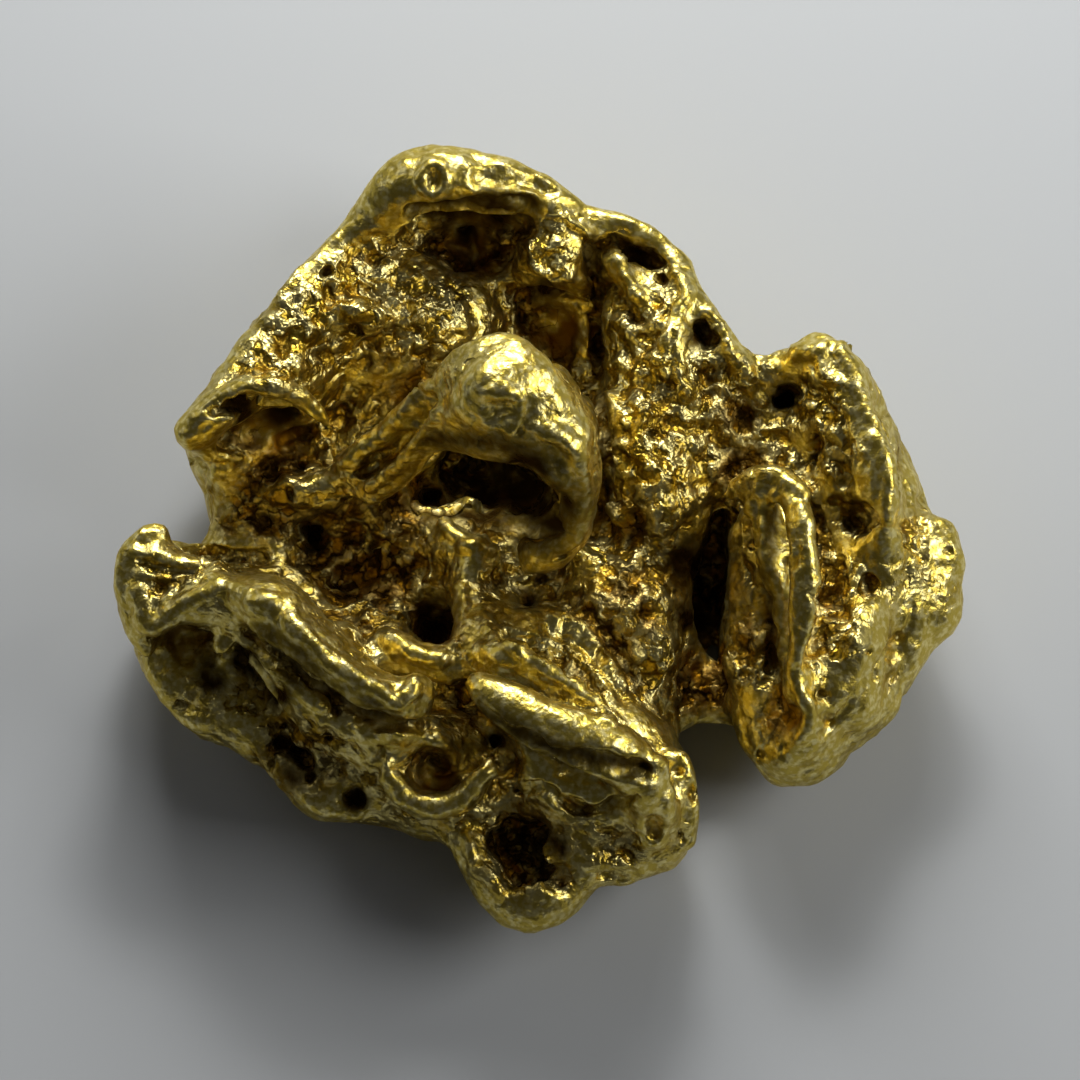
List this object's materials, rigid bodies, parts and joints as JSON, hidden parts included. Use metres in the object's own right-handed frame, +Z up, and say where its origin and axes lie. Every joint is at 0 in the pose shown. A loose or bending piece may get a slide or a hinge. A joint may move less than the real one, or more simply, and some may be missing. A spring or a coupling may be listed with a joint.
{
  "type": "gold nugget",
  "caption": "Water-worn native gold nugget, grown as one piece: a lumpy bowl with rolled lips, a tall hooded lump in its middle and a leaf-like lobe at one side.",
  "frame": {"origin": "centre of the bounding box in plan, on the table that the nugget rests on", "axes": "+X is the picture's right and the longest way, from the bowl to the lobe; +Y is the picture's far side; +Z is up"},
  "size_m": [0.0086, 0.0084, 0.0042],
  "materials": {
    "gold": "native gold, greenish yellow, worn to a soft waxy shine on the ridges and finely granular with brown stain in the hollows"
  },
  "bodies": {
    "root": {"nugget": "gold"}
  },
  "joints": []
}
